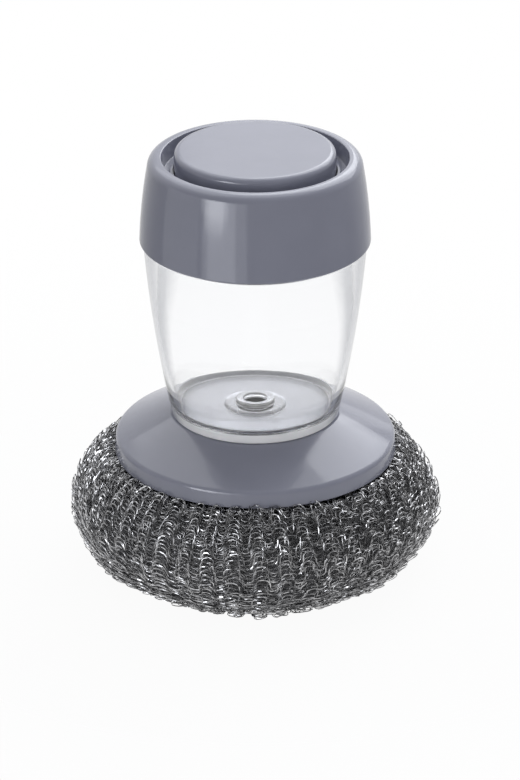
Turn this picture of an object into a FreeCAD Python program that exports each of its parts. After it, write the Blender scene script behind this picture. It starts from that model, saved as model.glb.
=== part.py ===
import FreeCAD, Part
import math
import os

from FreeCAD import Vector

# Press-button pot scrubber: a clear soap cup with a pump cap stands on a disc that holds a wire scourer.
# Millimetres, +Z up, origin on the table under the middle of the scourer.

# Driving dimensions: clearances
SLIDE_GAP = 0.35
SEAL_GAP = 0.06
SEAT_GAP = 0.05

# Driving dimensions: push button and pump
BUTTON_R = 19.5
BUTTON_RISE = 5.8
BUTTON_EDGE = 1.4
BUTTON_WALL = 1.6
PRESS_TRAVEL = 5.0
PISTON_LIP = 1.7
PISTON_H = 4.0
SEAL_DEPTH = 1.5
CYLINDER_WALL = 1.2
CYLINDER_FLANGE = 1.2
VENT_R = 1.5
VENT_COUNT = 8

# Driving dimensions: return spring
SPRING_R = 7.3
SPRING_WIRE = 1.0
SPRING_TURNS = 7
SPRING_END_PITCH = 1.55
POST_H = 2.5
POST_WALL = 1.2

# Driving dimensions: cap
CAP_SKIRT = 17.3
CAP_WALL = 1.4
CAP_DRAFT = 1.5
CAP_BELLY = 0.42
RECESS_DEPTH = 4.0
RECESS_GAP = 2.6
RECESS_DRAFT = 0.5
RIM_WIDTH = 2.95
RIM_ROUND = 2.4
DECK_T = 1.6
DECK_LIP_H = 0.6
DECK_LIP_W = 0.7
SNAP_BEAD = 0.3
GASKET_T = 1.0

# Driving dimensions: soap cup
CUP_BODY_H = 45.06
CUP_FOOT_R = 20.57
CUP_BELLY = 0.82
CUP_FLOOR = 2.4
CUP_LOWER_WALL = 1.3
CUP_BORE_SHARE = 0.3
CUP_CORNER = 2.0
NECK_WALL = 1.5
NECK_GAP = 0.5
CAP_OVERHANG = 0.9
BOSS_R = 4.75
BOSS_H = 1.2
OUTLET_R = 2.9
SPIGOT_R = 7.3
SPIGOT_L = 8.3

# Driving dimensions: outlet valve
VALVE_R = 4.3
VALVE_T = 1.0
VALVE_DOME = 1.1
VALVE_SKIN = 0.6
VALVE_SLIT = 0.25
VALVE_SLIT_L = 3.3
VALVE_RING_H = 2.5
VALVE_RING_WALL = 1.5

# Driving dimensions: head disc
RIM_HEIGHT = 29.8
BASE_R = 34.7
BASE_RIM_H = 4.1
BASE_RISE = 6.2
BASE_WALL = 2.0
BASE_EDGE = 1.3
BASE_CROWN = 0.35
RIM_DRAFT = 0.32
LAND_MARGIN = 0.5
HUB_WALL = 2.0
COLLAR_WALL = 1.6
SHELF_T = 1.8
SHELF_HOLE_R = 4.0
SOCKET_L = 5.0
RIB_COUNT = 6
RIB_T = 1.6

# Driving dimensions: scourer and what holds it
SCOURER_BULGE = 10.7
SCOURER_TUBE = 18.5
SCOURER_LOWER_SHARE = 0.527
SCOURER_UPPER_SHARE = 0.534
SCOURER_DIMPLE = 5.2
RETAINER_LIFT = 3.0
RETAINER_FLANGE_R = 14.0
RETAINER_FLANGE_T = 2.4
RETAINER_TUBE_R = 5.3
SOAP_R = 3.4
SOAP_HOLE_R = 1.0
SOAP_HOLE_ROWS = 4
SPANNER_SLOT = 2.4
TIE_WIRE_R = 0.45

# Heights, stacked from the table up
z_rim = RIM_HEIGHT
z_rim_top = z_rim + BASE_RIM_H
z_land = z_rim_top + BASE_RISE
z_shoulder = z_land + CUP_BODY_H
z_cap = z_shoulder + SLIDE_GAP
z_deck = z_cap + CAP_SKIRT
z_crest = z_deck + RECESS_DEPTH
z_button = z_deck + BUTTON_RISE
z_deck_under = z_deck - DECK_T
z_flange_under = z_deck_under - CYLINDER_FLANGE
z_neck = z_flange_under - GASKET_T
z_piston = z_deck_under - PISTON_H
z_pump_floor = z_piston - PRESS_TRAVEL - CYLINDER_FLANGE
z_button_inside = z_button - BUTTON_WALL
z_foot = z_land + SEAT_GAP
z_land_under = z_land - BASE_WALL
z_cup_floor = z_land + CUP_FLOOR
z_valve_seat = z_land + CUP_FLOOR / 4
z_valve = z_valve_seat - SEAT_GAP
z_spigot = z_land - SPIGOT_L
z_shelf = z_spigot - GASKET_T
z_shelf_under = z_shelf - SHELF_T
z_hub = z_shelf_under - SOCKET_L
z_retainer_top = RETAINER_LIFT + RETAINER_FLANGE_T
z_scourer_mid = SCOURER_LOWER_SHARE * z_rim

# Radii, worked out from the button towards the cap and from the outlet towards the hub
hole_r = BUTTON_R + SLIDE_GAP
piston_r = BUTTON_R + PISTON_LIP
cylinder_r = piston_r + SLIDE_GAP
cylinder_out_r = cylinder_r + CYLINDER_WALL
cup_bore_r = cylinder_out_r + SLIDE_GAP
neck_r = cup_bore_r + NECK_WALL
cap_bore_top_r = neck_r + NECK_GAP
cap_bore_r = cap_bore_top_r + CAP_DRAFT
cap_r = cap_bore_r + CAP_WALL
cylinder_flange_r = cap_bore_top_r - SEAT_GAP
bead_r = cylinder_flange_r - SNAP_BEAD
recess_r = BUTTON_R + RECESS_GAP
rim_lip_r = recess_r + RECESS_DRAFT
cap_top_r = rim_lip_r + RIM_WIDTH
shoulder_r = cap_r - CAP_OVERHANG
land_r = CUP_FOOT_R + LAND_MARGIN
post_r = SPRING_R - SPRING_WIRE / 2 - SLIDE_GAP
hub_bore_r = SPIGOT_R + SLIDE_GAP
hub_r = hub_bore_r + HUB_WALL
collar_bore_r = hub_r + SEAT_GAP
collar_r = collar_bore_r + COLLAR_WALL
socket_r = RETAINER_TUBE_R + SLIDE_GAP
tie_r = RETAINER_TUBE_R + SLIDE_GAP + TIE_WIRE_R
scourer_bore_r = tie_r + TIE_WIRE_R + SLIDE_GAP
scourer_r = BASE_R + SCOURER_BULGE


def at(corner):
    """Point of the outline plane at a corner (radius, height)."""
    return Vector(corner[0], 0, corner[1])


def arc(start, through, end):
    """Arc of an outline through three corners."""
    return Part.Arc(at(start), at(through), at(end))


def turned(*steps):
    """Solid turned about Z from a closed outline of corners (radius, height) and ready curves."""
    edges = []
    here = at(steps[0])
    for step in steps[1:]:
        curve = Part.LineSegment(here, at(step)) if isinstance(step, tuple) else step
        edges.append(curve.toShape())
        here = curve.EndPoint
    if here.distanceToPoint(at(steps[0])) > SEAT_GAP:
        edges.append(Part.makeLine(here, at(steps[0])))
    face = Part.Face(Part.Wire(edges))
    return face.revolve(Vector(0, 0, 0), Vector(0, 0, 1), 360)


def rounded(solid, radius, *corners):
    """Round the circular edges that run through the given corners."""
    chosen = []
    for edge in solid.Edges:
        spot = edge.Vertexes[0].Point
        corner = (math.hypot(spot.x, spot.y), spot.z)
        near = [c for c in corners if math.dist(c, corner) < 1e-4]
        if near and isinstance(edge.Curve, Part.Circle):
            chosen.append(edge)
    return solid.makeFillet(radius, chosen)


def around(shape, count, start=0.0):
    """Copies of a shape, evenly spaced about Z."""
    copies = []
    for i in range(count):
        copy = shape.copy()
        copy.rotate(Vector(0, 0, 0), Vector(0, 0, 1), start + 360.0 * i / count)
        copies.append(copy)
    return copies


def belly_point(low, high, belly):
    """Corner halfway between two others, pushed outwards by the belly of the wall."""
    return ((low[0] + high[0]) / 2 + belly, (low[1] + high[1]) / 2)


# Cap

def make_cap_shell():
    low = (cap_r, z_cap)
    top = (cap_top_r, z_crest)
    lip = (rim_lip_r, z_crest)
    deck_corner = (recess_r, z_deck)
    collar_r = hole_r + DECK_LIP_W
    z_collar = z_deck + DECK_LIP_H
    z_bead = z_flange_under - GASKET_T / 2
    shell = turned(
        (cap_bore_r, z_cap), low, arc(low, belly_point(low, top, CAP_BELLY), top), lip, deck_corner,
        (collar_r, z_deck), (collar_r, z_collar), (hole_r, z_collar), (hole_r, z_deck_under),
        (cap_bore_top_r, z_deck_under), (cap_bore_top_r, z_flange_under), (bead_r, z_flange_under),
        (cap_bore_top_r, z_bead))
    shell = rounded(shell, RIM_ROUND, top)
    shell = rounded(shell, RECESS_DRAFT / 2, lip, deck_corner, (collar_r, z_collar))
    return rounded(shell, CAP_WALL / 4, low)


def make_pump_cylinder():
    z_under = z_pump_floor - CYLINDER_FLANGE
    post_in_r = post_r - POST_WALL
    z_post = z_pump_floor + POST_H
    cylinder = turned(
        (VENT_R, z_under), (cylinder_out_r, z_under), (cylinder_out_r, z_flange_under),
        (cylinder_flange_r, z_flange_under), (cylinder_flange_r, z_deck_under), (cylinder_r, z_deck_under),
        (cylinder_r, z_pump_floor), (post_r, z_pump_floor), (post_r, z_post), (post_in_r, z_post),
        (post_in_r, z_pump_floor), (VENT_R, z_pump_floor))
    cylinder = rounded(cylinder, CYLINDER_WALL / 2, (cylinder_out_r, z_under))
    vent_ring_r = (SPRING_R + cylinder_r) / 2
    vent_foot = Vector(vent_ring_r, 0, z_under - CYLINDER_FLANGE / 2)
    vent = Part.makeCylinder(VENT_R, 2 * CYLINDER_FLANGE, vent_foot)
    return cylinder.cut(Part.makeCompound(around(vent, VENT_COUNT)))


def make_cap_gasket():
    inner_r = cylinder_out_r + SLIDE_GAP / 2
    outer_r = bead_r - SLIDE_GAP / 2
    z_low = z_neck + SEAT_GAP
    return turned((inner_r, z_low), (outer_r, z_low), (outer_r, z_flange_under), (inner_r, z_flange_under))


# Push button and pump piston

def seal_band():
    """Bottom and top of the groove that holds the piston's seal."""
    return z_piston + PISTON_H / 4, z_piston + 3 * PISTON_H / 4


def make_push_button():
    inside_r = BUTTON_R - BUTTON_WALL
    groove_r = piston_r - SEAL_DEPTH
    groove_low, groove_top = seal_band()
    post_in_r = post_r - POST_WALL
    z_post = z_button_inside - POST_H
    edge = (BUTTON_R, z_button)
    button = turned(
        (inside_r, z_piston), (piston_r, z_piston), (piston_r, groove_low), (groove_r, groove_low),
        (groove_r, groove_top), (piston_r, groove_top), (piston_r, z_deck_under), (BUTTON_R, z_deck_under),
        edge, (0, z_button), (0, z_button_inside), (post_in_r, z_button_inside), (post_in_r, z_post),
        (post_r, z_post), (post_r, z_button_inside), (inside_r, z_button_inside))
    return rounded(button, BUTTON_EDGE, edge)


def make_piston_seal():
    low, top = seal_band()
    lip_h = (top - low) / 4
    inner_r = piston_r - SEAL_DEPTH + SEAT_GAP
    lip_r = cylinder_r - SEAL_GAP
    body_r = piston_r - SLIDE_GAP
    return turned(
        (inner_r, low), (lip_r, low), (lip_r, low + lip_h), (body_r, low + 2 * lip_h),
        (body_r, top), (inner_r, top))


# Return spring

def biarc(start, start_way, end, end_way):
    """Two arcs that leave the start and reach the end along the given unit directions."""
    chord = end - start
    ways = start_way + end_way
    bend = 2 * (1 - start_way.dot(end_way))
    reach = (math.sqrt(chord.dot(ways) ** 2 + bend * chord.dot(chord)) - chord.dot(ways)) / bend
    from_start = start + start_way * reach
    from_end = end - end_way * reach
    joint = (from_start + from_end) * 0.5
    return [bow(start, from_start, joint), bow(joint, from_end, end)]


def bow(start, corner, end):
    """Arc from start to end whose end tangents meet at the corner."""
    middle = (start + end) * 0.5
    half = (end - start).Length / 2
    rise = (corner - middle).Length
    radius_to_corner = math.hypot(half, rise)
    sagitta = half * (radius_to_corner - half) / rise
    crown = middle + (corner - middle) * (sagitta / rise)
    return Part.Arc(start, crown, end).toShape()


def spring_place(turn, low, height):
    """Point and unit direction on the spring's centre line; the turns lie closer at both ends."""
    squeeze = height - SPRING_END_PITCH * SPRING_TURNS
    share = turn / SPRING_TURNS
    angle = 2 * math.pi * turn
    wave = 2 * math.pi * share
    z = low + height * share - squeeze * math.sin(wave) / (2 * math.pi)
    climb = (height - squeeze * math.cos(wave)) / SPRING_TURNS
    point = Vector(SPRING_R * math.cos(angle), SPRING_R * math.sin(angle), z)
    run = 2 * math.pi * SPRING_R
    way = Vector(-run * math.sin(angle), run * math.cos(angle), climb)
    return point, way.normalize()


def make_button_spring():
    low = z_pump_floor + SPRING_WIRE / 2 + SEAT_GAP
    height = z_button_inside - SPRING_WIRE / 2 - SEAT_GAP - low
    quarters = 4 * SPRING_TURNS
    places = [spring_place(i / 4, low, height) for i in range(quarters + 1)]
    edges = []
    for (start, start_way), (end, end_way) in zip(places, places[1:]):
        edges += biarc(start, start_way, end, end_way)
    start, start_way = places[0]
    section = Part.Wire(Part.makeCircle(SPRING_WIRE / 2, start, start_way))
    spring = Part.Wire(edges).makePipeShell([section], True, False)
    gaps = []
    for i in range(12 * (SPRING_TURNS - 1) + 1):
        here = spring_place(i / 12, low, height)[0]
        above = spring_place(i / 12 + 1, low, height)[0]
        gaps.append(above.distanceToPoint(here) - SPRING_WIRE)
    print("button_spring: least gap between turns %.2f mm" % min(gaps))
    return spring


# Soap cup

def make_reservoir_cup():
    foot = (CUP_FOOT_R, z_foot)
    shoulder = (shoulder_r, z_shoulder)
    bore_end = (cup_bore_r, z_shoulder - CUP_BORE_SHARE * CUP_BODY_H)
    corner = (CUP_FOOT_R - CUP_LOWER_WALL, z_cup_floor)
    drop = bore_end[1] - corner[1]
    taper = bore_end[0] - corner[0]
    wall_radius = (taper ** 2 + drop ** 2) / (2 * taper)
    half_angle = math.asin(drop / wall_radius) / 2
    wall_middle = (bore_end[0] - wall_radius * (1 - math.cos(half_angle)),
                   bore_end[1] - wall_radius * math.sin(half_angle))
    z_boss = z_cup_floor + BOSS_H
    spigot_root = (SPIGOT_R, z_foot)
    cup = turned(
        (VALVE_R, z_spigot), (SPIGOT_R, z_spigot), spigot_root, foot,
        arc(foot, belly_point(foot, shoulder, CUP_BELLY), shoulder), (neck_r, z_shoulder), (neck_r, z_neck),
        (cup_bore_r, z_neck), bore_end, arc(bore_end, wall_middle, corner), (BOSS_R, z_cup_floor),
        (BOSS_R, z_boss), (OUTLET_R, z_boss), (OUTLET_R, z_valve_seat), (VALVE_R, z_valve_seat))
    cup = rounded(cup, CUP_CORNER, corner)
    cup = rounded(cup, CUP_FLOOR / 4, foot)
    cup = rounded(cup, BOSS_H / 3, (BOSS_R, z_boss), (BOSS_R, z_cup_floor), (OUTLET_R, z_boss))
    return rounded(cup, NECK_WALL / 5, shoulder, (neck_r, z_neck), (cup_bore_r, z_neck))


def make_outlet_valve():
    flange_r = VALVE_R - SEAT_GAP
    dome_r = OUTLET_R - SLIDE_GAP
    inside_r = dome_r - VALVE_SKIN
    z_low = z_valve - VALVE_T
    z_top = z_valve + VALVE_DOME
    slope = math.sqrt(0.5)
    dome = arc((dome_r, z_valve), (dome_r * slope, z_valve + VALVE_DOME * slope), (0, z_top))
    inside_h = z_top - VALVE_SKIN - z_low
    inside = arc((0, z_top - VALVE_SKIN), (inside_r * slope, z_low + inside_h * slope), (inside_r, z_low))
    valve = turned(
        (inside_r, z_low), (flange_r, z_low), (flange_r, z_valve), (dome_r, z_valve), dome,
        (0, z_top - VALVE_SKIN), inside)
    slit_corner = Vector(-VALVE_SLIT_L / 2, -VALVE_SLIT / 2, z_valve)
    slit = Part.makeBox(VALVE_SLIT_L, VALVE_SLIT, 2 * VALVE_DOME, slit_corner)
    cross = around(slit, 4, 45.0)
    return valve.cut(cross[0].fuse(cross[1]))


def make_valve_ring():
    z_top = z_valve - VALVE_T
    z_low = z_top - VALVE_RING_H
    outer_r = VALVE_R - SEAT_GAP
    inner_r = outer_r - VALVE_RING_WALL
    return turned((inner_r, z_low), (outer_r, z_low), (outer_r, z_top), (inner_r, z_top))


def make_spigot_gasket():
    inner_r = VALVE_R + SLIDE_GAP
    outer_r = SPIGOT_R - SEAT_GAP
    z_top = z_spigot - SEAT_GAP
    return turned((inner_r, z_shelf), (outer_r, z_shelf), (outer_r, z_top), (inner_r, z_top))


# Head disc

def make_base_disc():
    edge = (BASE_R - RIM_DRAFT, z_rim_top)
    land = (land_r, z_land)
    rim_in_r = BASE_R - BASE_WALL
    low = (BASE_R, z_rim)
    disc = turned(
        (hub_bore_r, z_land_under), (collar_bore_r, z_land_under), (collar_bore_r, z_rim_top),
        (collar_r, z_rim_top), (collar_r, z_land_under), (land_r - BASE_WALL / 4, z_land_under),
        (rim_in_r, z_rim_top - 2 * BASE_WALL / 3), (rim_in_r, z_rim), low, edge,
        arc(edge, belly_point(edge, land, BASE_CROWN), land), (hub_bore_r, z_land))
    disc = rounded(disc, BASE_EDGE, edge)
    disc = rounded(disc, BASE_WALL / 8, low)
    middle = BASE_WALL / 2
    rib_end_r = edge[0] - (edge[0] - land_r) * middle / BASE_RISE
    rib_start_r = collar_r - COLLAR_WALL / 2
    outline = Part.makePolygon([
        at((rib_start_r, z_rim_top)), at((rib_end_r, z_rim_top)), at((land_r, z_land - middle)),
        at((rib_start_r, z_land - middle)), at((rib_start_r, z_rim_top))])
    rib = Part.Face(outline).extrude(Vector(0, RIB_T, 0))
    rib.translate(Vector(0, -RIB_T / 2, 0))
    return disc.fuse(around(rib, RIB_COUNT)).removeSplitter()


def make_hub_socket():
    foot = (hub_r, z_hub)
    z_top = z_land_under - SEAT_GAP
    socket = turned(
        (socket_r, z_hub), foot, (hub_r, z_top), (hub_bore_r, z_top), (hub_bore_r, z_shelf),
        (SHELF_HOLE_R, z_shelf), (SHELF_HOLE_R, z_shelf_under), (socket_r, z_shelf_under))
    return rounded(socket, HUB_WALL / 4, foot)


def make_scourer_retainer():
    z_tube_top = z_shelf_under - SLIDE_GAP
    root = RETAINER_FLANGE_T / 2
    flange_low = (RETAINER_FLANGE_R, RETAINER_LIFT)
    flange_top = (RETAINER_FLANGE_R, z_retainer_top)
    retainer = turned(
        (SOAP_R, RETAINER_LIFT), flange_low, flange_top,
        (RETAINER_TUBE_R + root, z_retainer_top), (RETAINER_TUBE_R, z_retainer_top + root),
        (RETAINER_TUBE_R, z_tube_top), (SOAP_R, z_tube_top))
    retainer = rounded(retainer, RETAINER_FLANGE_T / 3, flange_low, flange_top)
    tools = []
    for row in range(SOAP_HOLE_ROWS):
        z = z_retainer_top + (z_hub - z_retainer_top) * (row + 0.5) / SOAP_HOLE_ROWS
        hole = Part.makeCylinder(SOAP_HOLE_R, RETAINER_TUBE_R, Vector(SOAP_R / 2, 0, z), Vector(1, 0, 0))
        tools += around(hole, 2, 90.0 * row)
    slot_l = (RETAINER_FLANGE_R - RETAINER_TUBE_R) / 2
    slot = Part.makeBox(
        slot_l, SPANNER_SLOT, RETAINER_FLANGE_T,
        Vector(RETAINER_TUBE_R + slot_l / 2, -SPANNER_SLOT / 2, RETAINER_LIFT - RETAINER_FLANGE_T / 2))
    tools += around(slot, 4)
    return retainer.cut(Part.makeCompound(tools))


# Scourer

def ellipse_arc(centre, width, height, start_deg, end_deg):
    """Part of an upright ellipse in the outline plane; angles run from outwards to upwards."""
    places = []
    for degrees in (start_deg, (start_deg + end_deg) / 2, end_deg):
        angle = math.radians(degrees)
        places.append((centre[0] + width * math.cos(angle), centre[1] + height * math.sin(angle)))
    return arc(*places)


def make_wire_scourer():
    middle = (scourer_r - SCOURER_TUBE, z_scourer_mid)
    z_top = z_rim - SLIDE_GAP
    upper_h = SCOURER_UPPER_SHARE * z_rim
    top_deg = math.degrees(math.asin((z_top - z_scourer_mid) / upper_h))
    z_seat = z_retainer_top + SLIDE_GAP
    dimple_r = RETAINER_FLANGE_R + SLIDE_GAP
    flat_in_r = dimple_r + SCOURER_DIMPLE
    dimple_middle = (dimple_r + SCOURER_DIMPLE / 3, z_seat / 3)
    hub_clear_r = hub_r + SLIDE_GAP
    crown_end = (BASE_R - BASE_WALL - 2 * SLIDE_GAP, z_top)
    crown_start = (hub_clear_r, z_top + BASE_WALL / 2)
    crown = arc(crown_end, belly_point(crown_end, (hub_clear_r, z_rim_top), 0), crown_start)
    funnel = hub_clear_r - scourer_bore_r
    lower = ellipse_arc(middle, SCOURER_TUBE, z_scourer_mid, -90, -45)
    outer = ellipse_arc(middle, SCOURER_TUBE, z_scourer_mid, -45, 0)
    upper = ellipse_arc(middle, SCOURER_TUBE, upper_h, 0, top_deg)
    return turned(
        (scourer_bore_r, z_seat), (dimple_r, z_seat), arc((dimple_r, z_seat), dimple_middle, (flat_in_r, 0)),
        (middle[0], 0), lower, outer, upper, crown_end, crown, (hub_clear_r, z_hub - SLIDE_GAP),
        (scourer_bore_r, z_hub - SLIDE_GAP - funnel))


def make_scourer_tie():
    z = (z_retainer_top + z_hub) / 2
    return Part.makeTorus(tie_r, TIE_WIRE_R, Vector(0, 0, z))


MAKERS = [
    make_cap_shell, make_pump_cylinder, make_cap_gasket, make_push_button, make_piston_seal,
    make_button_spring, make_reservoir_cup, make_outlet_valve, make_valve_ring, make_spigot_gasket,
    make_base_disc, make_hub_socket, make_scourer_retainer, make_wire_scourer, make_scourer_tie]

os.makedirs("parts", exist_ok=True)
for maker in MAKERS:
    name = maker.__name__.removeprefix("make_")
    shape = maker()
    solid = shape.Solids[0]
    state = (name, len(shape.Solids), shape.isValid(), shape.Volume)
    print("%-18s solids %d valid %s volume %.1f mm3" % state)
    solid.exportStep("parts/%s.step" % name)
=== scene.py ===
import math

import bpy
import numpy as np
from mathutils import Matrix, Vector


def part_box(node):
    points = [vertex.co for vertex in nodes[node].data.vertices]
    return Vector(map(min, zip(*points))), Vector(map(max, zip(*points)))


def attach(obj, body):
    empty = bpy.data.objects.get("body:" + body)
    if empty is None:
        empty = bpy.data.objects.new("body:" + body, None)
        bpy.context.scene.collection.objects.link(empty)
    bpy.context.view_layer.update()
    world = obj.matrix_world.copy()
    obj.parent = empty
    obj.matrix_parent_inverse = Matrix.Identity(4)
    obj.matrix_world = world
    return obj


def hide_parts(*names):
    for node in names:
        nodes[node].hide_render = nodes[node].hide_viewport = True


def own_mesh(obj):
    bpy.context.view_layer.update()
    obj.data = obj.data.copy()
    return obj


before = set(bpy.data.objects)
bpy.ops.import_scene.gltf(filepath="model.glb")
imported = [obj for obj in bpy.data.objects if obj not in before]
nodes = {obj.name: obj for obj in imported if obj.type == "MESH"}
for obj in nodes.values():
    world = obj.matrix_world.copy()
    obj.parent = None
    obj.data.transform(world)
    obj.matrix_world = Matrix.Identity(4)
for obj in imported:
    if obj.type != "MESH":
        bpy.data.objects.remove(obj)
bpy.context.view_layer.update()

# Looks of the press-button pot scrubber: grey gloss mouldings, a clear cup and a scourer of knitted wire.
# Shapes are worked out in millimetres, in the frame of the solids, and MM turns them into metres.
MM = 0.001
TURN = 2 * math.pi
SEED = 7

# Camera, as fitted to the photograph
IMAGE_HEIGHT_PX = 780
FOCAL_PX = 4000
SENSOR_MM = 36.0
CAMERA_ELEVATION = math.radians(25.2)
CAMERA_DISTANCE = 983.5 * MM
CAMERA_TARGET = Vector((1.16 * MM, 0.0, 45.0 * MM))
CAMERA_NEAREST = 0.01

# Form of the scourer, in millimetres, and the steps that its outline is drawn in
SCOURER_TUBE = 18.5
SCOURER_LOWER_SHARE = 0.527
SCOURER_UPPER_SHARE = 0.534
TUCK_IN = 3.2
CLEARANCE = 0.6
DIMPLE_WIDTH = 5.0
FLANGE_THICKNESS = 2.4
UPPER_STEPS = 40
LOWER_STEPS = 50
DIMPLE_STEPS = 20
NORMAL_REACH = 1.5

# Dense inside of the scourer, in millimetres, and the steps and sides that it is drawn in
CORE_DEPTH = 1.8
CORE_LIFT = 1.2
CORE_BORE_R = 7.0
CORE_BORE_TOP = 20.5
CORE_STEPS = 60
CORE_SIDES = 96

# Layers of the knit: depth and pitch of the rows in millimetres, sideways start and drift in stitches,
# and how far loops pop out, in millimetres. The outer ones are of wire with painted glints, the inner ones of
# the same wire darkened as painted shade.
LAYERS = [
    dict(depth=0.2, pitch=0.95, start=0.0, drift=0.0, pop=0.7),
    dict(depth=0.7, pitch=0.95, start=0.0, drift=0.25, pop=0.4),
    dict(depth=1.2, pitch=1.1, start=0.5, drift=0.0, pop=0.4),
    dict(depth=1.6, pitch=1.3, start=0.25, drift=0.0, pop=0.3),
]
LAYERS_WITHOUT_PAINTED_SHADE = 2

# Rows of a layer, in millimetres along the outline. Their gap is a share of the pitch, which grows from the
# top down to the low side.
ROW_MARGIN = 0.5
ROW_WANDER = 0.04
ROW_GAP_TOP = 0.85
ROW_GAP_GROWTH = 0.4
LOW_SIDE = 25.0

# Ribbon of the knit, in millimetres, and its turn on the way, in radians
RIBBON_WIDTH = 0.23
RIBBON_THICKNESS = 0.08
RIBBON_TWIST = 0.75
FLAT_BELOW = 1.0
TWISTS_PER_STITCH = 4

# Stitches, sideways. Loops are tight on one side of the scourer and open on the other, and a pair of values
# holds for the tight and for the open side. Bulges, steps, shifts and nudges are counted in stitches, and
# KNIT_R turns millimetres round the ring into an angle.
WALES = 46
POINTS_PER_STITCH = 12
OPEN_SIDE = math.radians(225.0)
BULGE = 0.09
BULGE_SLACK = 0.012
ROW_STEP = 0.5
COLUMN_SHIFT = 0.1
COLUMN_LEAN = 0.02
KNIT_R = 45.0
NUDGE = (0.13, 0.03)

# Stitches, along the outline and in depth, in millimetres. Slack is a share of the loop's height, and a loop
# that jumps comes out by a share of the layer's pop.
LOOP_HALF = (1.35, 1.85)
LOOP_SLACK = 0.08
PULL = 0.12
SWAY_ALONG = 0.6
SWAY_DEPTH = 0.5
COLUMN_DEPTH = 0.3
ROW_DEPTH = 0.8
RIM_RISE = 0.7
RIM_RISE_ENDS = 9.0
SWELL_DEPTH = 0.3
SWELL_PITCH = 5.0
HEAD_DEPTH = (0.2, 0.6)
POP_SHARE = (0.4, 1.0)
JUMP_MEAN = -0.5
JUMP_SPREAD = 0.9

# Slow waves that the whole knit sways by: their count, their size in millimetres, the range of their turns
# round the ring, and their pace along the outline in radians per millimetre
WAVE_COUNT = 7
WAVE_SIZE = 0.5
WAVE_TURNS = (2, 9)
WAVE_PACE = 0.25

# Return spring, in millimetres
SPRING_WIRE = 1.0
SPRING_TURNS = 7
SPRING_END_PITCH = 1.55
SPRING_STEPS_PER_TURN = 40
SPRING_SIDES = 12

# Screw threads: leads in millimetres, run-out in turns, half the crest's flat as a share of the ridge's width
CAP_LEAD = 6.0
HEAD_LEAD = 4.0
THREAD_STARTS = 2
THREAD_STEPS_PER_TURN = 72
THREAD_RUN_OUT = 0.12
THREAD_HALF_FLAT = 0.2

# Noise: the part of its range that is spread between the two ends of a look, and grains that are used twice
NOISE_RANGE = (0.3, 0.7)
CORE_NOISE = dict(scale=1400.0, detail=6.0, roughness=0.7)
SILICONE_GRAIN = dict(
    rough=(0.45, 0.6), rough_scale=400.0,
    relief=0.08, relief_depth=0.03 * MM, relief_noise=dict(scale=1500.0))

# Index of refraction that every material starts with
PLASTIC_IOR = 1.5

# Clear plastic: its painted shade, grey at a slant and darkest down the bore, and shares of milk, frost and a
# painted metallic sheen
CLEAR_TINT = (0.985, 0.988, 0.994)
SLANT_PAINTED_SHADE_GREY = (0.45, 0.46, 0.49)
SLANT_RANGE = (0.4, 0.62)
FOOT_FROST = 0.2
FOOT_MILK = 0.88
BOSS_FROST = 0.16
BOSS_MILK = 0.2
BOSS_PAINTED_SHEEN = 0.16
BORE_MILK = 0.9
BORE_PAINTED_SHADE_DARKEST = 0.02
CUP_WEAR = (0.0, 0.03)

# Clear plastic: radii in millimetres at which its looks change
BOSS_R = 4.75
BORE_R = 2.9
SPIGOT_R = 7.25
FOOT_R = 19.5
BOSS_EDGE = (1.02 * BOSS_R, 1.05 * BOSS_R)
BORE_EDGE = (1.03 * BORE_R, 1.05 * BORE_R)
SPIGOT_EDGE = (0.96 * SPIGOT_R, 1.04 * SPIGOT_R)
FOOT_EDGE = (0.98 * FOOT_R, FOOT_R)

# Clear plastic: heights in millimetres above the top of the disc at which its looks change, the painted shade
# in the bore and the painted sheen among them
UNDERSIDE_ENDS = (0.1, 0.2)
PAINTED_SHEEN_STARTS = (1.0, 1.2)
BORE_SHADE = (1.9, 2.7)
BORE_CLEARS = (2.2, 2.8)
BOSS_STARTS = (2.2, 2.3)
FOOT_BAND_ENDS = (2.5, 2.8)

# Valve: its dark eye of painted shade in millimetres, and what the pale rim and a noise add to the blend of
# dark and pale
VALVE_PAINTED_SHADE_R = 2.4
VALVE_PAINTED_SHADE_EDGE = (VALVE_PAINTED_SHADE_R, 1.2 * VALVE_PAINTED_SHADE_R)
VALVE_PALE = 0.7
VALVE_MOTTLE = (0.1, 0.3)

# Background: its strength as a soft fill and, mirrored, in front. WHITE_SIDE is the direction in which the
# mirrored background turns white, and MIRRORED_FADE where along it.
WHITE = (1.0, 1.0, 1.0, 1.0)
SOFT_FILL = 0.42
MIRRORED_FRONT = 0.14
MIRRORED_FADE = (0.0, 0.8)
WHITE_SIDE = (0.0, 0.8, 0.6)

# Floor: its own grey, its glow where it is looked at, and radii in metres
FLOOR_GREY = (0.75, 0.75, 0.75, 1.0)
FLOOR_GLOW = 0.95
FLOOR_SHADE_R = (0.03, 0.052)
FLOOR_FADE_R = (0.06, 0.24)

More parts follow.
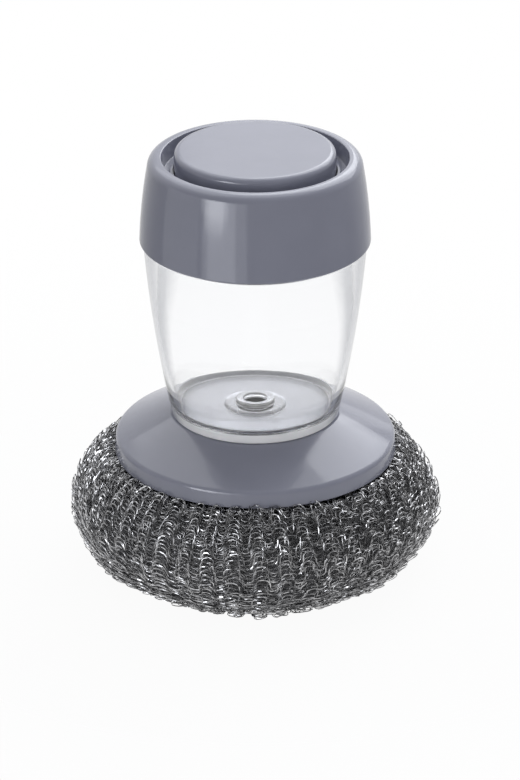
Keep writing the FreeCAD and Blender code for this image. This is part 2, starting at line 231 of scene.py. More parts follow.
# Lamps, in metres: where they stand, what they aim at, and the rays that they are hidden from
LAMP_COLOUR = (0.94, 0.96, 1.0)
CUP_FOOT = (0.0, 0.0, 0.05)
CAP_SIDE = (0.0, 0.0, 0.09)
MIRRORED_ONLY = ("diffuse", "transmission")
LAMPS = [
    dict(name="overhead", place=(0.0, 0.45, 0.85), aim=(0.0, 0.05, 0.0), size=(1.2, 1.2), radiance=1.0),
    dict(name="back", place=(0.21, 0.92, 0.46), aim=(0.21, 0.0, 0.05), size=(0.5, 0.5), radiance=0.75,
         hidden_from=("transmission",)),
    dict(name="back_right", place=(0.4, 0.66, 0.76), aim=CUP_FOOT, size=(0.98, 0.8), radiance=2.2,
         hidden_from=("transmission",)),
    dict(name="front_fill", place=(0.0, -1.0, 0.12), aim=(0.0, 0.0, 0.08), size=(0.8, 0.5), radiance=1.7,
         hidden_from=("glossy", "transmission")),
    dict(name="through_cup", place=(0.0, 0.8, 0.4), aim=CUP_FOOT, size=(1.1, 0.54), radiance=1.7,
         colour=(0.9, 0.92, 1.0), hidden_from=("glossy", "diffuse")),
    dict(name="glint_wide", place=(-0.38, -0.44, 0.14), aim=CAP_SIDE, size=(0.3, 0.217), radiance=2.1,
         hidden_from=MIRRORED_ONLY),
    dict(name="glint_narrow", place=(-0.38, -0.44, 0.127), aim=CAP_SIDE, size=(0.2, 0.25), radiance=2.5,
         hidden_from=MIRRORED_ONLY),
    dict(name="sheen_wide", place=(-0.29, -0.5, 0.03), aim=CAP_SIDE, size=(0.46, 0.34), radiance=1.1,
         hidden_from=MIRRORED_ONLY),
    dict(name="sheen_narrow", place=(-0.31, -0.48, 0.03), aim=CAP_SIDE, size=(0.28, 0.34), radiance=1.4,
         hidden_from=MIRRORED_ONLY),
    dict(name="left_wall", place=(-0.62, -0.12, 0.03), aim=CAP_SIDE, size=(0.5, 0.5), radiance=0.5,
         hidden_from=MIRRORED_ONLY),
]

random = np.random.default_rng(SEED)


def box_mm(node):
    """Lowest and highest corner of a node, in millimetres."""
    low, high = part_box(node)
    return np.array(low) / MM, np.array(high) / MM


# Shader nodes

def new_material(name):
    """A material with its node tree and its surface shader."""
    material = bpy.data.materials.new(name)
    material.use_nodes = True
    tree = material.node_tree
    shader = tree.nodes["Principled BSDF"]
    shader.inputs["IOR"].default_value = PLASTIC_IOR
    return material, tree, shader


def place_on_object(tree):
    """Place on the object, in metres, which stays the same when its body moves."""
    return tree.nodes.new("ShaderNodeTexCoord").outputs["Object"]


def height_at_rest(tree):
    """Height above the table when the part is at rest, in metres."""
    axes = tree.nodes.new("ShaderNodeSeparateXYZ")
    tree.links.new(place_on_object(tree), axes.inputs["Vector"])
    return axes.outputs["Z"]


def distance_from_axis(tree):
    """Distance from the upright axis, in metres."""
    level = tree.nodes.new("ShaderNodeVectorMath")
    level.operation = "MULTIPLY"
    level.inputs[1].default_value = (1.0, 1.0, 0.0)
    tree.links.new(place_on_object(tree), level.inputs[0])
    length = tree.nodes.new("ShaderNodeVectorMath")
    length.operation = "LENGTH"
    tree.links.new(level.outputs[0], length.inputs[0])
    return length.outputs["Value"]


def noise(tree, scale, detail=3.0, roughness=0.5):
    """Noise in object space; scale counts features per metre."""
    texture = tree.nodes.new("ShaderNodeTexNoise")
    texture.inputs["Scale"].default_value = scale
    texture.inputs["Detail"].default_value = detail
    texture.inputs["Roughness"].default_value = roughness
    tree.links.new(place_on_object(tree), texture.inputs["Vector"])
    return texture.outputs["Fac"]


def ramp_value(tree, value, start, end, low, high, smooth=False):
    """A number that goes from low to high while value goes from start to end."""
    node = tree.nodes.new("ShaderNodeMapRange")
    if smooth:
        node.interpolation_type = "SMOOTHSTEP"
    node.inputs["From Min"].default_value = start
    node.inputs["From Max"].default_value = end
    node.inputs["To Min"].default_value = low
    node.inputs["To Max"].default_value = high
    tree.links.new(value, node.inputs["Value"])
    return node.outputs["Result"]


def span(ends, start=0.0):
    """Two places given in millimetres, in metres from a start."""
    return [start + end * MM for end in ends]


def spread(tree, value, ends):
    """A noise spread between two numbers."""
    return ramp_value(tree, value, *NOISE_RANGE, *ends)


def two_tone(tree, value, first, second, stretch=NOISE_RANGE):
    """A blend of two colours while value goes through a stretch."""
    ramp = tree.nodes.new("ShaderNodeValToRGB")
    for element, position, colour in zip(ramp.color_ramp.elements, stretch, (first, second)):
        element.position = position
        element.color = (*colour, 1.0)
    tree.links.new(value, ramp.inputs["Fac"])
    return ramp.outputs["Color"]


def paired(tree, operation, first, second):
    """Two numbers joined by an operation."""
    node = tree.nodes.new("ShaderNodeMath")
    node.operation = operation
    tree.links.new(first, node.inputs[0])
    tree.links.new(second, node.inputs[1])
    return node.outputs[0]


def mixed(tree, share, first, second):
    """Two shaders mixed by the share of the second."""
    node = tree.nodes.new("ShaderNodeMixShader")
    tree.links.new(share, node.inputs["Fac"])
    tree.links.new(first.outputs[0], node.inputs[1])
    tree.links.new(second.outputs[0], node.inputs[2])
    return node


def bump(tree, shader, height, strength, distance):
    """Fine relief on a shader's normal."""
    node = tree.nodes.new("ShaderNodeBump")
    node.inputs["Strength"].default_value = strength
    node.inputs["Distance"].default_value = distance
    tree.links.new(height, node.inputs["Height"])
    tree.links.new(node.outputs["Normal"], shader.inputs["Normal"])


def grain(tree, shader, rough, rough_scale, relief, relief_depth, relief_noise):
    """Roughness that wavers between two ends, and a fine relief."""
    tree.links.new(spread(tree, noise(tree, rough_scale), rough), shader.inputs["Roughness"])
    bump(tree, shader, noise(tree, **relief_noise), relief, relief_depth)


# Opaque materials

def mottled_look(name, dark, light, tone_noise, metallic=0.0, **surface):
    """A material of two tones with a grain."""
    material, tree, shader = new_material(name)
    tone = two_tone(tree, noise(tree, **tone_noise), dark, light)
    tree.links.new(tone, shader.inputs["Base Color"])
    shader.inputs["Metallic"].default_value = metallic
    grain(tree, shader, **surface)
    return material


def make_grey_plastic():
    """Gloss plastic of the grey mouldings."""
    return mottled_look(
        "grey_plastic_look", dark=(0.25, 0.258, 0.318), light=(0.264, 0.272, 0.334),
        tone_noise=dict(scale=90.0), rough=(0.085, 0.135), rough_scale=260.0,
        relief=0.03, relief_depth=0.05 * MM, relief_noise=dict(scale=700.0, detail=2.0))


def make_silicone():
    """Dark matt silicone of the gaskets."""
    return mottled_look(
        "silicone_look", dark=(0.075, 0.078, 0.085), light=(0.10, 0.104, 0.112),
        tone_noise=dict(scale=150.0), **SILICONE_GRAIN)


def make_valve_look():
    """Pale silicone with painted shade: dark where the thin dome lies over the open bore."""
    material, tree, shader = new_material("valve_painted_shade_look")
    away = distance_from_axis(tree)
    # Painted shade: the middle stays dark over the bore, and the rim round it turns pale.
    rim = ramp_value(tree, away, *span(VALVE_PAINTED_SHADE_EDGE), 0.0, VALVE_PALE)
    mottle = spread(tree, noise(tree, scale=400.0), VALVE_MOTTLE)
    dark = (0.03, 0.031, 0.034)
    pale = (0.5, 0.51, 0.54)
    tone = two_tone(tree, paired(tree, "ADD", rim, mottle), dark, pale)
    tree.links.new(tone, shader.inputs["Base Color"])
    grain(tree, shader, **SILICONE_GRAIN)
    return material


def make_steel(name, dark, light, rough):
    """Bare stainless wire."""
    return mottled_look(
        name, dark=dark, light=light,
        tone_noise=dict(scale=500.0), metallic=1.0, rough=rough, rough_scale=900.0,
        relief=0.15, relief_depth=0.02 * MM, relief_noise=dict(scale=6000.0, detail=2.0))


def make_core_look():
    """Tangle of wire deep inside the scourer, as a sheet with a random tone, whose dark grey is painted shade
    of the deep wires.
    """
    return mottled_look(
        "scourer_core_look", dark=(0.07, 0.07, 0.074), light=(0.22, 0.221, 0.23),
        tone_noise=CORE_NOISE, metallic=0.3, rough=(0.5, 0.75), rough_scale=900.0,
        relief=0.9, relief_depth=0.8 * MM, relief_noise=CORE_NOISE)


# Clear plastic

def tint_with_painted_slant_shade(tree):
    """Clear, with painted shade: grey where an upright wall is seen at a slant."""
    slant = tree.nodes.new("ShaderNodeLayerWeight")
    surface = tree.nodes.new("ShaderNodeNewGeometry")
    axes = tree.nodes.new("ShaderNodeSeparateXYZ")
    tree.links.new(surface.outputs["Normal"], axes.inputs["Vector"])
    level = tree.nodes.new("ShaderNodeMath")
    level.operation = "ABSOLUTE"
    tree.links.new(axes.outputs["Z"], level.inputs[0])
    wall = paired(tree, "SUBTRACT", slant.outputs["Facing"], level.outputs[0])
    return two_tone(tree, wall, CLEAR_TINT, SLANT_PAINTED_SHADE_GREY, SLANT_RANGE)


def cup_tint_with_painted_shade(tree, outside_bore, height, disc_top):
    """Colour of the cup, with painted shade: grey on walls seen at a slant, and darkening down the outlet's
    bore.
    """
    # Painted shade: darker down the bore, towards the valve.
    depth = ramp_value(tree, height, *span(BORE_SHADE, disc_top), BORE_PAINTED_SHADE_DARKEST, 1.0)
    tone = tree.nodes.new("ShaderNodeVectorMath")
    tone.operation = "SCALE"
    tree.links.new(tint_with_painted_slant_shade(tree), tone.inputs[0])
    tree.links.new(paired(tree, "MAXIMUM", outside_bore, depth), tone.inputs["Scale"])
    return tone.outputs[0]


def cup_clearness(tree, away, height, disc_top):
    """How clear the cup is: milky on the outlet's boss, low in its bore and round the outer foot."""
    beside_boss = ramp_value(tree, away, *span(BOSS_EDGE), 1.0 - BOSS_MILK, 1.0)
    below_boss = ramp_value(tree, height, *span(BOSS_STARTS, disc_top), 1.0, 1.0 - BOSS_MILK)
    boss = paired(tree, "MAXIMUM", beside_boss, below_boss)
    beside_bore = ramp_value(tree, away, *span(BORE_EDGE), 1.0 - BORE_MILK, 1.0)
    bore_top = ramp_value(tree, height, *span(BORE_CLEARS, disc_top), 1.0 - BORE_MILK, 1.0)
    bore = paired(tree, "MAXIMUM", beside_bore, bore_top)
    above_band = ramp_value(tree, height, *span(FOOT_BAND_ENDS, disc_top), 1.0 - FOOT_MILK, 1.0)
    inside_band = ramp_value(tree, away, *span(FOOT_EDGE), 1.0, 1.0 - FOOT_MILK)
    band = paired(tree, "MAXIMUM", above_band, inside_band)
    return paired(tree, "MULTIPLY", paired(tree, "MULTIPLY", boss, bore), band)


def cup_roughness(tree, away, height, disc_top):
    """Polished with slight wear, but matt under the foot and soft round the outlet."""
    frost = ramp_value(tree, height, *span(UNDERSIDE_ENDS, disc_top), FOOT_FROST, 0.0)
    soft = ramp_value(tree, away, *span(SPIGOT_EDGE), BOSS_FROST, 0.0)
    wear = spread(tree, noise(tree, scale=200.0), CUP_WEAR)
    return paired(tree, "ADD", paired(tree, "ADD", frost, soft), wear)


def cup_painted_sheen(tree, away, outside_bore, height, disc_top):
    """Painted reflection: a metallic sheen on top of the floor round the outlet, which makes it brighter."""
    near = ramp_value(tree, away, *span(SPIGOT_EDGE), BOSS_PAINTED_SHEEN, 0.0)
    on_top = ramp_value(tree, height, *span(PAINTED_SHEEN_STARTS, disc_top), 0.0, 1.0)
    return paired(tree, "MULTIPLY", paired(tree, "MULTIPLY", near, on_top), outside_bore)


def make_clear_plastic():
    """Clear plastic of the cup, with the looks of its outlet and its foot, painted shade and a painted sheen
    among them.
    """
    material, tree, shader = new_material("clear_plastic_look")
    disc_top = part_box("base_disc")[1][2]
    height = height_at_rest(tree)
    away = distance_from_axis(tree)
    outside_bore = ramp_value(tree, away, *span(BORE_EDGE), 0.0, 1.0)
    for socket, value in (
            ("Base Color", cup_tint_with_painted_shade(tree, outside_bore, height, disc_top)),
            ("Transmission Weight", cup_clearness(tree, away, height, disc_top)),
            ("Roughness", cup_roughness(tree, away, height, disc_top)),
            ("Metallic", cup_painted_sheen(tree, away, outside_bore, height, disc_top))):
        tree.links.new(value, shader.inputs[socket])
    bump(tree, shader, noise(tree, scale=120.0, detail=1.0), strength=0.02, distance=0.05 * MM)
    return material


# Looks of the nodes

grey_plastic = make_grey_plastic()
clear_plastic = make_clear_plastic()
silicone = make_silicone()
valve_painted_shade_look = make_valve_look()
spring_steel = make_steel(
    "spring_steel_look", dark=(0.42, 0.42, 0.43), light=(0.56, 0.56, 0.57), rough=(0.2, 0.32))
# Wire with a random tone stretched from dark to bright: painted glints and painted shade along the knit.
knit_steel_painted_glints = make_steel(
    "knit_steel_look", dark=(0.14, 0.14, 0.144), light=(0.74, 0.74, 0.75), rough=(0.15, 0.26))
# Painted shade: the same wire, darker, for the deeper layers.
inner_steel_painted_shade = make_steel(
    "inner_steel_look", dark=(0.14, 0.14, 0.144), light=(0.45, 0.45, 0.458), rough=(0.2, 0.35))
core_painted_shade_look = make_core_look()

NODE_LOOKS = {
    "cap_shell": grey_plastic,
    "push_button": grey_plastic,
    "pump_cylinder": grey_plastic,
    "base_disc": grey_plastic,
    "hub_socket": grey_plastic,
    "scourer_retainer": grey_plastic,
    "valve_ring": grey_plastic,
    "reservoir_cup": clear_plastic,
    "cap_gasket": silicone,
    "piston_seal": silicone,
    "spigot_gasket": silicone,
    "outlet_valve": valve_painted_shade_look,
    "button_spring": spring_steel,
    "scourer_tie": spring_steel,
    "wire_scourer": core_painted_shade_look,
}
for node_name, node_look in NODE_LOOKS.items():
    nodes[node_name].data.materials.clear()
    nodes[node_name].data.materials.append(node_look)


# Meshes

def add_mesh(name, points_mm, faces, look, smooth=True):
    """Object from points in millimetres."""
    mesh = bpy.data.meshes.new(name)
    points = np.asarray(points_mm, dtype=np.float64) * MM
    faces = np.asarray(faces, dtype=np.int32)
    mesh.vertices.add(len(points))
    mesh.vertices.foreach_set("co", points.ravel())
    corners = faces.shape[1]
    mesh.loops.add(faces.size)
    mesh.loops.foreach_set("vertex_index", faces.ravel())
    mesh.polygons.add(len(faces))
    mesh.polygons.foreach_set("loop_start", np.arange(0, faces.size, corners, dtype=np.int32))
    mesh.polygons.foreach_set("use_smooth", np.full(len(faces), smooth))
    mesh.update(calc_edges=True)
    mesh.materials.append(look)
    piece = bpy.data.objects.new(name, mesh)
    bpy.context.scene.collection.objects.link(piece)
    return piece


def unit(vectors):
    """Vectors of length one."""
    return vectors / np.linalg.norm(vectors, axis=-1, keepdims=True)


def round_axis(r, angle, z):
    """Points from their radius, angle about Z and height."""
    return np.stack(np.broadcast_arrays(r * np.cos(angle), r * np.sin(angle), z), axis=-1)


def strip_quads(rows, sides, closed=False):
    """Quads between rows of points that each go round a section; closed joins the last row to the first."""
    row, corner = np.meshgrid(np.arange(rows if closed else rows - 1), np.arange(sides), indexing="ij")
    here = row * sides
    ahead = (row + 1) % rows * sides
    beside = (corner + 1) % sides
    quads = np.stack([here + corner, here + beside, ahead + beside, ahead + corner], axis=-1)
    return quads.reshape(-1, 4)


def tube(path, up, ring, twist, closed):
    """Points and quads of a bar along a path.

    ring holds the corners of the section, first along up and then across it; twist turns it on the way.
    """
    if closed:
        way = np.roll(path, -1, axis=0) - np.roll(path, 1, axis=0)
    else:
        way = np.gradient(path, axis=0)
    side = unit(np.cross(way, up))
    lift = unit(np.cross(side, way))
    cos, sin = np.cos(twist)[:, None], np.sin(twist)[:, None]
    tall = cos * lift + sin * side
    wide = cos * side - sin * lift
    offsets = ring[None, :, 0, None] * tall[:, None, :] + ring[None, :, 1, None] * wide[:, None, :]
    points = (path[:, None, :] + offsets).reshape(-1, 3)
    return points, strip_quads(len(path), len(ring), closed)


def round_ring(radius, sides):
    """Corners of a round section."""
    angles = TURN * np.arange(sides) / sides
    return radius * np.stack([np.cos(angles), np.sin(angles)], axis=1)


def flat_ring(tall, wide):
    """Corners of a flat section."""
    return np.array([(tall, wide), (-tall, wide), (-tall, -wide), (tall, -wide)]) / 2


def joined(tubes):
    """One list of points and quads from many tubes."""
    points = []
    quads = []
    start = 0
    for tube_points, tube_quads in tubes:
        points.append(tube_points)
        quads.append(tube_quads + start)
        start += len(tube_points)
    return np.concatenate(points), np.concatenate(quads)


def turned_surface(outline, steps):
    """Points and quads of an outline (radius, height) turned about Z."""
    angles = TURN * np.arange(steps) / steps
    points = round_axis(outline[:, :1], angles[None, :], outline[:, 1:])
    return points.reshape(-1, 3), strip_quads(len(outline), steps)


# Form of the scourer

def flange_top():
    """Height of the top of the plug's flange."""
    return box_mm("scourer_retainer")[0][2] + FLANGE_THICKNESS


def scourer_outline():
    """Outline of the scourer from under the disc's rim, over the bulge, to the dimple below."""
    disc_low, disc_high = box_mm("base_disc")
    rim_r = disc_high[0]
    rim_z = disc_low[2]
    middle_r = box_mm("wire_scourer")[1][0] - SCOURER_TUBE
    middle_z = SCOURER_LOWER_SHARE * rim_z
    upper_h = SCOURER_UPPER_SHARE * rim_z
    top_z = rim_z - CLEARANCE
    dimple_r = box_mm("scourer_retainer")[1][0] + CLEARANCE
    upper = np.linspace(math.asin((top_z - middle_z) / upper_h), 0.0, UPPER_STEPS)
    lower = np.linspace(0.0, -TURN / 4, LOWER_STEPS)[1:]
    dimple = np.linspace(0.0, TURN / 4, DIMPLE_STEPS)
    stretches = [
        ([rim_r - TUCK_IN], [top_z]),
        (middle_r + SCOURER_TUBE * np.cos(upper), middle_z + upper_h * np.sin(upper)),
        (middle_r + SCOURER_TUBE * np.cos(lower), middle_z * (1 + np.sin(lower))),
        (dimple_r + DIMPLE_WIDTH * (1 - np.sin(dimple)), flange_top() * (1 - np.cos(dimple))),
    ]
    return np.concatenate([np.stack(stretch, axis=1) for stretch in stretches])


class Skin:
    """Surface of the scourer: places along its outline, sunk below it."""

    def __init__(self):
        points = scourer_outline()
        steps = np.linalg.norm(np.diff(points, axis=0), axis=1)
        self.along = np.concatenate([[0.0], np.cumsum(steps)])
        self.points = points
        self.length = self.along[-1]

    def spot(self, s):
        """Radius and height at distance s along the outline."""
        s = np.clip(s, 0.0, self.length)
        return np.interp(s, self.along, self.points[:, 0]), np.interp(s, self.along, self.points[:, 1])

    def place(self, s, depth):
        """Radius and height at a depth below distance s along the outline, and the outward normal there."""
        s = np.clip(s, 0.0, self.length)
        r, z = self.spot(s)
        before_r, before_z = self.spot(s - NORMAL_REACH)
        after_r, after_z = self.spot(s + NORMAL_REACH)
        size = np.hypot(after_r - before_r, after_z - before_z)
        normal_r = (before_z - after_z) / size
        normal_z = (after_r - before_r) / size
        return r - depth * normal_r, z - depth * normal_z, normal_r, normal_z


def core_outline(skin):
    """Closed outline of the dense inside: sunk below the knit, and close round the hub and the plug."""
    s = np.linspace(0.0, skin.length, CORE_STEPS)
    r, z, _, _ = skin.place(s, CORE_DEPTH)
    outer = np.stack([r, np.maximum(z, CORE_LIFT)], axis=1)
    hub_low, hub_high = box_mm("hub_socket")
    hub_clear_r = hub_high[0] + CLEARANCE
    inner = np.array([
        (CORE_BORE_R, flange_top() + CLEARANCE), (CORE_BORE_R, CORE_BORE_TOP),
        (hub_clear_r, hub_low[2] - CLEARANCE), (hub_clear_r, outer[0][1])])
    return np.concatenate([outer, inner, outer[:1]])


# Knit of the scourer

def eased(values, points_each=POINTS_PER_STITCH):
    """Periodic values, such as one for each stitch, eased from one to the next over several points."""
    count = len(values)
    t = np.arange(count * points_each) / points_each
    low = np.floor(t).astype(int)
    ease = t - low
    ease = ease * ease * (3 - 2 * ease)
    return values[low % count] * (1 - ease) + values[(low + 1) % count] * ease


def by_side(ends, open_side):
    """A value between its ends for the tight and for the open side of the knit."""
    tight, loose = ends
    return tight + (loose - tight) * open_side


def make_waves():
    """A fixed set of slow waves over angle and distance along the outline, as a function."""
    waves = []
    for _ in range(WAVE_COUNT):
        turns = random.integers(*WAVE_TURNS)
        pace = random.uniform(-WAVE_PACE, WAVE_PACE)
        phase = random.uniform(0.0, TURN)
        waves.append((turns, pace, phase))

    def height(angle, s):
        total = np.zeros_like(angle)
        for turns, pace, phase in waves:
            total += np.sin(turns * angle + pace * s + phase)
        return WAVE_SIZE * total / math.sqrt(WAVE_COUNT)

    return height


knit_waves = make_waves()


class Layer:
    """One layer of knit: its size and the habits that all its courses share."""

    def __init__(self, depth, pitch, start, drift, pop):
        self.depth = depth
        self.pitch = pitch
        self.start = start
        self.drift = drift
        self.pop = pop
        self.shift = eased(random.normal(0.0, COLUMN_SHIFT, WALES))
        self.relief = eased(random.normal(0.0, COLUMN_DEPTH, WALES))
        self.swell = eased(random.uniform(0.0, TURN, WALES))

    def course(self, skin, s0, row):
        """One row of stitches round the scourer as a closed path with its normals.

        Away from the open loops, every second row lies deeper, and the others take turns half a stitch on.
        """
        slack = eased(random.normal(0.0, 1.0, WALES))
        pull = eased(random.normal(0.0, 1.0, WALES))
        jump = eased(np.maximum(random.normal(JUMP_MEAN, JUMP_SPREAD, WALES), 0.0))
        nudge = eased(random.normal(0.0, 1.0, WALES))
        t = np.arange(WALES * POINTS_PER_STITCH) / POINTS_PER_STITCH
        about = TURN * t / WALES
        open_side = 0.5 + 0.5 * np.cos(about - OPEN_SIDE)
        tight_side = 1.0 - open_side
        head = np.cos(TURN * t)
        sway = knit_waves(about, s0)

        bulge = (BULGE + BULGE_SLACK * slack) * np.sin(2 * TURN * t)
        step = self.start + (self.drift + ROW_STEP * (row // 2 % 2)) * tight_side
        stitches = t + step + bulge + self.shift + by_side(NUDGE, open_side) * nudge
        angle = TURN / WALES * stitches + (COLUMN_LEAN * s0 + sway) / KNIT_R

        loop = by_side(LOOP_HALF, open_side) * (1.0 + LOOP_SLACK * slack)
        s = s0 + loop * head + PULL * pull + SWAY_ALONG * sway

        sink = self.depth + self.relief + SWAY_DEPTH * sway + PULL * pull
        sink = sink + ROW_DEPTH * (row % 2) * tight_side
        sink = sink - RIM_RISE * max(0.0, 1.0 - s0 / RIM_RISE_ENDS)
        sink = sink + SWELL_DEPTH * np.sin(TURN * s0 / SWELL_PITCH + self.swell)
        sink = sink + by_side(HEAD_DEPTH, open_side) * head
        sink = sink - self.pop * by_side(POP_SHARE, open_side) * jump * (1.0 - head) / 2

        r, z, normal_r, normal_z = skin.place(s, sink)
        path = round_axis(r, angle, np.maximum(z, RIBBON_WIDTH / 2))
        return path, round_axis(normal_r, angle, normal_z)

    def twist(self, share):
        """Turn of the ribbon along a course; on edge near the top, mostly flat near the bottom."""
        turns = random.normal(FLAT_BELOW * share ** 2, RIBBON_TWIST, WALES * TWISTS_PER_STITCH)
        return eased(turns, POINTS_PER_STITCH // TWISTS_PER_STITCH)

    def ribbons(self, skin):
        """All courses, from under the disc's rim to the dimple below."""
        found = []
        ring = flat_ring(RIBBON_WIDTH, RIBBON_THICKNESS)
        s = ROW_MARGIN
        while s < skin.length - ROW_MARGIN:
            share = min(s / LOW_SIDE, 1.0)
            path, up = self.course(skin, s + random.normal(0.0, ROW_WANDER), len(found))
            found.append(tube(path, up, ring, self.twist(share), closed=True))
            s += self.pitch * (ROW_GAP_TOP + ROW_GAP_GROWTH * share)
        return joined(found)


def make_scourer():
    """Layers of knit over a dense core, in place of the plain ring."""
    skin = Skin()
    pieces = []
    for number, sizes in enumerate(LAYERS, 1):
        points, quads = Layer(**sizes).ribbons(skin)
        # Outer layers get the wire with painted glints, deeper ones its darker copy as painted shade.
        look = knit_steel_painted_glints if number <= LAYERS_WITHOUT_PAINTED_SHADE else inner_steel_painted_shade
        pieces.append(add_mesh("scourer_knit_%d" % number, points, quads, look, smooth=False))
    points, quads = turned_surface(core_outline(skin), CORE_SIDES)
    pieces.append(add_mesh("scourer_core", points, quads, core_painted_shade_look))
    for piece in pieces:
        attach(piece, "head")
        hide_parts("wire_scourer")


make_scourer()


# Return spring

def make_spring():
    """Coil with closer turns at its ends, drawn at rest and carried with the cap; the real spring shortens
    with the button.
    """
    low, high = box_mm("button_spring")
    radius = high[0] - SPRING_WIRE / 2
    full = high[2] - low[2]
    height = full - SPRING_WIRE
    squeeze = height - SPRING_END_PITCH * SPRING_TURNS
    t = np.linspace(0.0, SPRING_TURNS, SPRING_STEPS_PER_TURN * SPRING_TURNS + 1)
    share = t / SPRING_TURNS
    z = low[2] + SPRING_WIRE / 2 + height * share - squeeze * np.sin(TURN * share) / TURN
    path = round_axis(radius, TURN * t, z)
    up = round_axis(1.0, TURN * t, 0.0)
    ring = round_ring(SPRING_WIRE / 2, SPRING_SIDES)
    points, quads = tube(path, up, ring, np.zeros_like(t), closed=False)
    spring = add_mesh("return_spring", points, quads, spring_steel)
    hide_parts("button_spring")
    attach(spring, "cap")
    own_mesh(spring)


make_spring()


# Screw threads

def make_thread(number, name, above, rise, wall, crest, turns, lead, width, look, body, slot):
    """One of the starts of a right-handed screw thread, as a ridge that runs out at both ends.

    It begins at a rise above the lowest point of the node named by above. wall holds the radius of the wall
    at the ridge's lower and upper end.
    """
    steps = int(THREAD_STEPS_PER_TURN * turns) + 1
    t = np.linspace(0.0, turns, steps)
    angle = TURN * (t + number / THREAD_STARTS)
    fade = np.clip(np.minimum(t, turns - t) / THREAD_RUN_OUT, 0.0, 1.0)
    z = box_mm(above)[0][2] + rise + lead * t
    root_r = np.linspace(*wall, steps)
    crest_r = root_r + (crest - root_r) * fade
    foot = width / 2
    flat = width * THREAD_HALF_FLAT
    corners = [(root_r, z - foot), (crest_r, z - flat), (crest_r, z + flat), (root_r, z + foot)]
    edges = [round_axis(r, angle, h) for r, h in corners]
    points = np.stack(edges, axis=1).reshape(-1, 3)
    quads = strip_quads(steps, len(corners))
    ridge = add_mesh("%s_%d" % (name, number + 1), points, quads, look, smooth=False)
    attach(ridge, body)


THREADS = [
    dict(name="neck_thread", above="cap_shell", rise=1.49, wall=(24.55, 24.55), crest=25.2, turns=1.5,
         lead=CAP_LEAD, width=1.4, look=clear_plastic, body="cup", slot="clear_plastic"),
    dict(name="cap_thread", above="cap_shell", rise=2.99, wall=(26.2, 25.4), crest=24.9, turns=1.0,
         lead=CAP_LEAD, width=1.0, look=grey_plastic, body="cap", slot="grey_plastic"),
    dict(name="spigot_thread", above="reservoir_cup", rise=1.2, wall=(7.25, 7.25), crest=7.55, turns=1.5,
         lead=HEAD_LEAD, width=0.9, look=clear_plastic, body="cup", slot="clear_plastic"),
    dict(name="hub_thread", above="hub_socket", rise=10.0, wall=(7.7, 7.7), crest=7.4, turns=1.0,
         lead=HEAD_LEAD, width=0.7, look=grey_plastic, body="head", slot="grey_plastic"),
]
for thread_number in range(THREAD_STARTS):
    for thread_values in THREADS:
        make_thread(thread_number, **thread_values)


# Background and floor

def even_light(tree, strength):
    """Background of one strength."""
    light = tree.nodes.new("ShaderNodeBackground")
    light.inputs["Color"].default_value = WHITE
    light.inputs["Strength"].default_value = strength
    return light


def studio_light(tree):
    """Background that is white above and behind the object and fades towards the front and the floor."""
    place = tree.nodes.new("ShaderNodeTexCoord")
    lean = tree.nodes.new("ShaderNodeVectorMath")
    lean.operation = "DOT_PRODUCT"
    lean.inputs[1].default_value = WHITE_SIDE
    tree.links.new(place.outputs["Generated"], lean.inputs[0])
    behind = ramp_value(tree, lean.outputs["Value"], *MIRRORED_FADE, MIRRORED_FRONT, 1.0, smooth=True)
    light = even_light(tree, 1.0)
    tree.links.new(behind, light.inputs["Strength"])
    return light


def make_world():
    """White where it is looked at or seen through the cup, darker in front where it is mirrored.

    To matt surfaces it is a soft fill.
    """
    world = bpy.data.worlds.new("studio")
    bpy.context.scene.world = world
    world.use_nodes = True
    tree = world.node_tree
    tree.nodes.clear()
    path = tree.nodes.new("ShaderNodeLightPath")
    found = even_light(tree, SOFT_FILL)
    for ray, light in (
            ("Is Glossy Ray", studio_light(tree)),
            ("Is Transmission Ray", even_light(tree, 1.0)),
            ("Is Camera Ray", even_light(tree, 1.0))):
        found = mixed(tree, path.outputs[ray], found, light)
    out = tree.nodes.new("ShaderNodeOutputWorld")
    tree.links.new(found.outputs[0], out.inputs["Surface"])


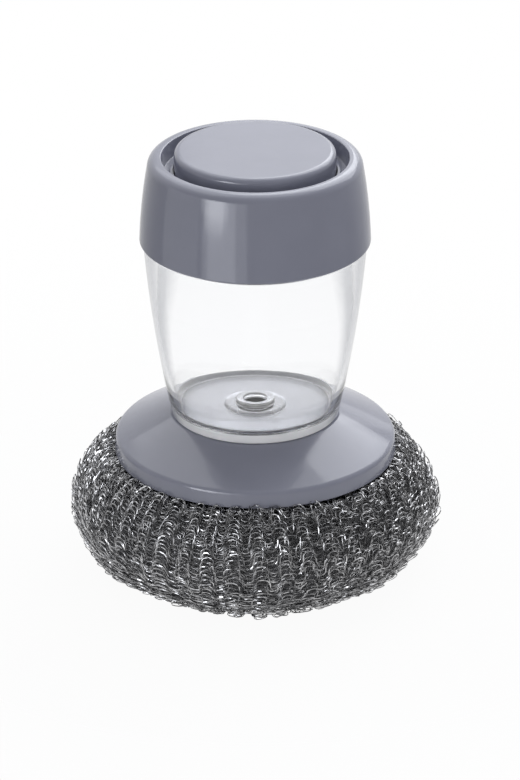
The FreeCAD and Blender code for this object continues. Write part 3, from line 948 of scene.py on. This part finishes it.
def make_floor_look():
    """Pale with a light shadow; it fades into the white around it and is not there from below."""
    material = bpy.data.materials.new("floor_look")
    material.use_nodes = True
    tree = material.node_tree
    tree.nodes.clear()
    pale = tree.nodes.new("ShaderNodeBsdfDiffuse")
    pale.inputs["Color"].default_value = FLOOR_GREY
    glow = tree.nodes.new("ShaderNodeEmission")
    path = tree.nodes.new("ShaderNodeLightPath")
    away = distance_from_axis(tree)
    near = ramp_value(tree, away, *FLOOR_SHADE_R, 1.0, 0.0)
    mirrored = paired(tree, "MULTIPLY", near, path.outputs["Is Glossy Ray"])
    unseen = paired(tree, "MAXIMUM", path.outputs["Is Diffuse Ray"], path.outputs["Is Shadow Ray"])
    share = ramp_value(tree, paired(tree, "MAXIMUM", unseen, mirrored), 0.0, 1.0, FLOOR_GLOW, 0.0)
    lit = mixed(tree, share, pale, glow)
    fade = ramp_value(tree, away, *FLOOR_FADE_R, 0.0, 1.0, smooth=True)
    surface = tree.nodes.new("ShaderNodeNewGeometry")
    gone = paired(tree, "MAXIMUM", fade, surface.outputs["Backfacing"])
    clear = tree.nodes.new("ShaderNodeBsdfTransparent")
    out = tree.nodes.new("ShaderNodeOutputMaterial")
    tree.links.new(mixed(tree, gone, lit, clear).outputs[0], out.inputs["Surface"])
    return material


def make_floor():
    """Square floor at the height of the table."""
    size = FLOOR_FADE_R[1]
    corners = [(-size, -size, 0), (size, -size, 0), (size, size, 0), (-size, size, 0)]
    mesh = bpy.data.meshes.new("floor")
    mesh.from_pydata(corners, [], [(0, 1, 2, 3)])
    mesh.materials.append(make_floor_look())
    floor = bpy.data.objects.new("floor", mesh)
    bpy.context.scene.collection.objects.link(floor)


# Lamps and camera

def make_lamp(name, place, aim, size, radiance, colour=LAMP_COLOUR, hidden_from=()):
    """Area light of a given brightness, aimed at a point."""
    width, height = size
    light = bpy.data.lights.new(name, "AREA")
    light.shape = "RECTANGLE"
    light.size = width
    light.size_y = height
    light.color = colour
    light.energy = radiance * math.pi * width * height
    lamp = bpy.data.objects.new(name, light)
    lamp.location = place
    lamp.rotation_euler = (Vector(aim) - Vector(place)).to_track_quat("-Z", "Y").to_euler()
    lamp.visible_glossy = "glossy" not in hidden_from
    lamp.visible_diffuse = "diffuse" not in hidden_from
    lamp.visible_transmission = "transmission" not in hidden_from
    bpy.context.scene.collection.objects.link(lamp)


def make_camera():
    """Camera that sees the object as the photograph does."""
    camera_data = bpy.data.cameras.new("camera")
    camera_data.sensor_width = SENSOR_MM
    camera_data.lens = SENSOR_MM * FOCAL_PX / IMAGE_HEIGHT_PX
    camera_data.clip_start = CAMERA_NEAREST
    camera = bpy.data.objects.new("camera", camera_data)
    backward = Vector((0.0, -math.cos(CAMERA_ELEVATION), math.sin(CAMERA_ELEVATION)))
    camera.location = CAMERA_TARGET + CAMERA_DISTANCE * backward
    camera.rotation_euler = backward.to_track_quat("Z", "Y").to_euler()
    bpy.context.scene.collection.objects.link(camera)
    bpy.context.scene.camera = camera


make_world()
make_floor()
for lamp_values in LAMPS:
    make_lamp(**lamp_values)
make_camera()
bpy.context.scene.view_settings.view_transform = "Standard"
